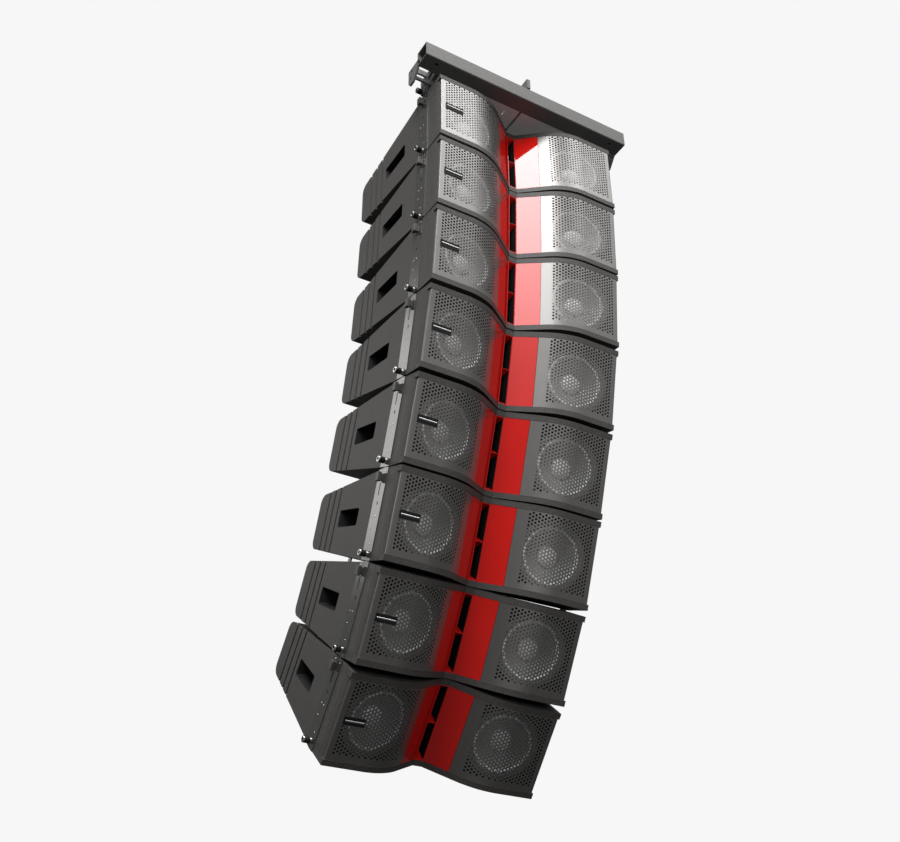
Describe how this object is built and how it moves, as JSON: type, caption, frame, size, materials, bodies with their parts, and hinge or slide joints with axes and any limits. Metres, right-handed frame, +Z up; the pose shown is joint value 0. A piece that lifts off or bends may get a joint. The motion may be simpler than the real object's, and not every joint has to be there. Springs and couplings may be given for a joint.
{
  "type": "line array speaker",
  "caption": "Flown line array: two-way cabinets with perforated grilles and a red slot horn, hinged one below the other under a steel fly bar.",
  "frame": {"origin": "centre of the shackle hole in the pick-up plate, from which the array hangs", "axes": "+Z up, +Y to the rear of the array, +X across it; the grilles face -Y"},
  "size_m": [0.922, 1.1953, 2.6344],
  "materials": {
    "textured_black": "textured charcoal paint on plywood",
    "driver": "black baffle with grey cones",
    "red_horn": "glossy red moulding",
    "grille": "semi-gloss charcoal perforated steel",
    "fly_steel": "grey powder coat",
    "pin": "black barrel and bright head"
  },
  "bodies": {
    "fly_bar": {"fly_bar": "fly_steel"},
    "pickup": {"pickup_plate": "fly_steel"},
    "fly_pin_left": {"fly_pin_left": "pin"},
    "fly_pin_right": {"fly_pin_right": "pin"},
    "cab_1": {"cabinet_1": "textured_black", "driver_baffle_1": "driver", "waveguide_1": "red_horn", "grille_left_1": "grille", "grille_right_1": "grille"},
    "pin_left_1": {"pin_left_1": "pin"},
    "pin_right_1": {"pin_right_1": "pin"},
    "cab_2": {"cabinet_2": "textured_black", "driver_baffle_2": "driver", "waveguide_2": "red_horn", "grille_left_2": "grille", "grille_right_2": "grille"},
    "pin_left_2": {"pin_left_2": "pin"},
    "pin_right_2": {"pin_right_2": "pin"},
    "cab_3": {"cabinet_3": "textured_black", "driver_baffle_3": "driver", "waveguide_3": "red_horn", "grille_left_3": "grille", "grille_right_3": "grille"},
    "pin_left_3": {"pin_left_3": "pin"},
    "pin_right_3": {"pin_right_3": "pin"},
    "cab_4": {"cabinet_4": "textured_black", "driver_baffle_4": "driver", "waveguide_4": "red_horn", "grille_left_4": "grille", "grille_right_4": "grille"},
    "pin_left_4": {"pin_left_4": "pin"},
    "pin_right_4": {"pin_right_4": "pin"},
    "cab_5": {"cabinet_5": "textured_black", "driver_baffle_5": "driver", "waveguide_5": "red_horn", "grille_left_5": "grille", "grille_right_5": "grille"},
    "pin_left_5": {"pin_left_5": "pin"},
    "pin_right_5": {"pin_right_5": "pin"},
    "cab_6": {"cabinet_6": "textured_black", "driver_baffle_6": "driver", "waveguide_6": "red_horn", "grille_left_6": "grille", "grille_right_6": "grille"},
    "pin_left_6": {"pin_left_6": "pin"},
    "pin_right_6": {"pin_right_6": "pin"},
    "cab_7": {"cabinet_7": "textured_black", "driver_baffle_7": "driver", "waveguide_7": "red_horn", "grille_left_7": "grille", "grille_right_7": "grille"},
    "pin_left_7": {"pin_left_7": "pin"},
    "pin_right_7": {"pin_right_7": "pin"},
    "cab_8": {"cabinet_8": "textured_black", "driver_baffle_8": "driver", "waveguide_8": "red_horn", "grille_left_8": "grille", "grille_right_8": "grille"},
    "pin_left_8": {"pin_left_8": "pin"},
    "pin_right_8": {"pin_right_8": "pin"}
  },
  "joints": [
    {"name": "pickup_slide", "type": "slide", "parent": "fly_bar", "child": "pickup", "axis": [0, 1, 0], "range_m": [-0.36, 0.09]},
    {"name": "fly_pin_left_pull", "type": "slide", "parent": "fly_bar", "child": "fly_pin_left", "axis": [-1, 0, 0], "range_m": [0, 0.04]},
    {"name": "fly_pin_right_pull", "type": "slide", "parent": "fly_bar", "child": "fly_pin_right", "axis": [1, 0, 0], "range_m": [0, 0.04]},
    {"name": "splay_1", "type": "hinge", "parent": "fly_bar", "child": "cab_1", "pos_m": [0, -0.339, -0.194], "axis": [1, 0, 0], "range_deg": [0, 6]},
    {"name": "pin_left_1_pull", "type": "slide", "parent": "cab_1", "child": "pin_left_1", "axis": [-1, 0, 0], "range_m": [0, 0.04]},
    {"name": "pin_right_1_pull", "type": "slide", "parent": "cab_1", "child": "pin_right_1", "axis": [1, 0, 0], "range_m": [0, 0.04]},
    {"name": "splay_2", "type": "hinge", "parent": "cab_1", "child": "cab_2", "pos_m": [0, -0.339, -0.504], "axis": [1, 0, 0], "range_deg": [-3.75, 8.25]},
    {"name": "pin_left_2_pull", "type": "slide", "parent": "cab_2", "child": "pin_left_2", "axis": [-1, 0, 0], "range_m": [0, 0.04]},
    {"name": "pin_right_2_pull", "type": "slide", "parent": "cab_2", "child": "pin_right_2", "axis": [1, 0, 0], "range_m": [0, 0.04]},
    {"name": "splay_3", "type": "hinge", "parent": "cab_2", "child": "cab_3", "pos_m": [0, -0.31873, -0.81334], "axis": [1, 0, 0], "range_deg": [-2.75, 9.25]},
    {"name": "pin_left_3_pull", "type": "slide", "parent": "cab_3", "child": "pin_left_3", "axis": [-1, 0, 0], "range_m": [0, 0.04]},
    {"name": "pin_right_3_pull", "type": "slide", "parent": "cab_3", "child": "pin_right_3", "axis": [1, 0, 0], "range_m": [0, 0.04]},
    {"name": "splay_4", "type": "hinge", "parent": "cab_3", "child": "cab_4", "pos_m": [0, -0.28363, -1.12134], "axis": [1, 0, 0], "range_deg": [-6.5, 5.5]},
    {"name": "pin_left_4_pull", "type": "slide", "parent": "cab_4", "child": "pin_left_4", "axis": [-1, 0, 0], "range_m": [0, 0.04]},
    {"name": "pin_right_4_pull", "type": "slide", "parent": "cab_4", "child": "pin_right_4", "axis": [1, 0, 0], "range_m": [0, 0.04]},
    {"name": "splay_5", "type": "hinge", "parent": "cab_4", "child": "cab_5", "pos_m": [0, -0.2139, -1.4234], "axis": [1, 0, 0], "range_deg": [-6, 6]},
    {"name": "pin_left_5_pull", "type": "slide", "parent": "cab_5", "child": "pin_left_5", "axis": [-1, 0, 0], "range_m": [0, 0.04]},
    {"name": "pin_right_5_pull", "type": "slide", "parent": "cab_5", "child": "pin_right_5", "axis": [1, 0, 0], "range_m": [0, 0.04]},
    {"name": "splay_6", "type": "hinge", "parent": "cab_5", "child": "cab_6", "pos_m": [0, -0.11297, -1.71651], "axis": [1, 0, 0], "range_deg": [-2.75, 9.25]},
    {"name": "pin_left_6_pull", "type": "slide", "parent": "cab_6", "child": "pin_left_6", "axis": [-1, 0, 0], "range_m": [0, 0.04]},
    {"name": "pin_right_6_pull", "type": "slide", "parent": "cab_6", "child": "pin_right_6", "axis": [1, 0, 0], "range_m": [0, 0.04]},
    {"name": "splay_7", "type": "hinge", "parent": "cab_6", "child": "cab_7", "pos_m": [0, 0.0019, -2.00444], "axis": [1, 0, 0], "range_deg": [-8.25, 3.75]},
    {"name": "pin_left_7_pull", "type": "slide", "parent": "cab_7", "child": "pin_left_7", "axis": [-1, 0, 0], "range_m": [0, 0.04]},
    {"name": "pin_right_7_pull", "type": "slide", "parent": "cab_7", "child": "pin_right_7", "axis": [1, 0, 0], "range_m": [0, 0.04]},
    {"name": "splay_8", "type": "hinge", "parent": "cab_7", "child": "cab_8", "pos_m": [0, 0.1569, -2.27291], "axis": [1, 0, 0], "range_deg": [-10.5, 1.5]},
    {"name": "pin_left_8_pull", "type": "slide", "parent": "cab_8", "child": "pin_left_8", "axis": [-1, 0, 0], "range_m": [0, 0.04]},
    {"name": "pin_right_8_pull", "type": "slide", "parent": "cab_8", "child": "pin_right_8", "axis": [1, 0, 0], "range_m": [0, 0.04]}
  ]
}
